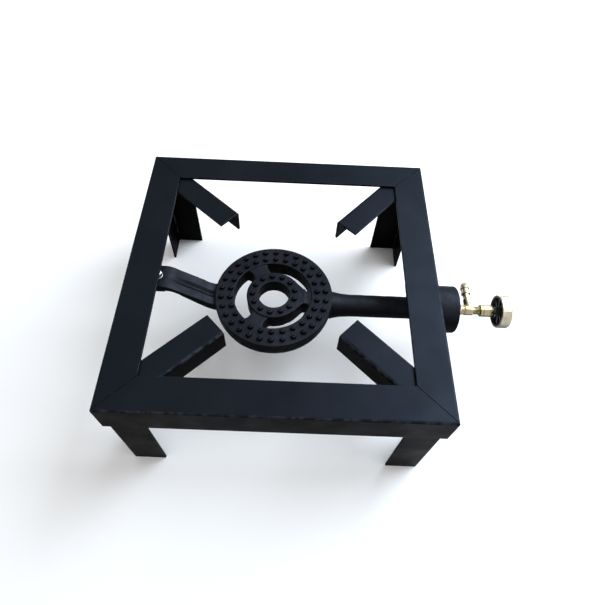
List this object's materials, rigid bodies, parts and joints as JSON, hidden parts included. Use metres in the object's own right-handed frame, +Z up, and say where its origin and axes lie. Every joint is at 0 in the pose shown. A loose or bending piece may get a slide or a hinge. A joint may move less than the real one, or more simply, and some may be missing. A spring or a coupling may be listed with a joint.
{
  "type": "propane burner stand",
  "caption": "Low square steel stand with pot supports over a cast-iron ring burner, fed through a mixing tube by a brass needle valve with a round knob.",
  "frame": {"origin": "middle of the whole length and width, at the bottom of the feet", "axes": "+X from the stand towards the valve knob, +Y towards the back, where the hose barb points, +Z up"},
  "size_m": [0.393, 0.3, 0.14],
  "materials": {
    "black_paint": "satin black paint with a faint blue cast",
    "black_cast_iron": "sand-cast iron, matt black",
    "brass": "turned brass, lightly tarnished",
    "plated_knob": "bright nickel plate over brass",
    "zinc_steel": "bright zinc plate",
    "fibre": "red fibre sealing washer",
    "black_rubber": "matt"
  },
  "bodies": {
    "stand": {"rail_front": "black_paint", "rail_right": "black_paint", "rail_back": "black_paint", "rail_left": "black_paint", "leg_front_left": "black_paint", "pot_support_front_left": "black_paint", "leg_front_right": "black_paint", "pot_support_front_right": "black_paint", "leg_back_right": "black_paint", "pot_support_back_right": "black_paint", "leg_back_left": "black_paint", "pot_support_back_left": "black_paint", "burner_casting": "black_cast_iron", "tail_bracket": "black_paint", "tail_washer": "zinc_steel", "tail_bolt": "zinc_steel", "tail_nut": "zinc_steel", "mixer_bracket": "black_paint", "mixer_washer": "zinc_steel", "mixer_bolt": "zinc_steel", "valve_body": "brass", "valve_seal": "fibre", "retaining_nut": "brass", "gas_jet": "brass", "hose_barb": "brass", "stem_packing": "black_rubber", "gland_nut": "brass"},
    "spindle": {"valve_spindle": "zinc_steel"},
    "knob": {"valve_knob": "plated_knob", "knob_screw": "zinc_steel"}
  },
  "joints": [
    {"name": "spindle_travel", "type": "slide", "parent": "stand", "child": "spindle", "axis": [1, 0, 0], "range_m": [0, 0.002]},
    {"name": "knob_turn", "type": "hinge", "parent": "spindle", "child": "knob", "pos_m": [0.1855, 0, 0.0775], "axis": [1, 0, 0], "range_deg": [0, 720]}
  ],
  "couplings": [
    {"joint": "spindle_travel", "follows": "knob_turn", "m_per_rad": 0.000159}
  ]
}
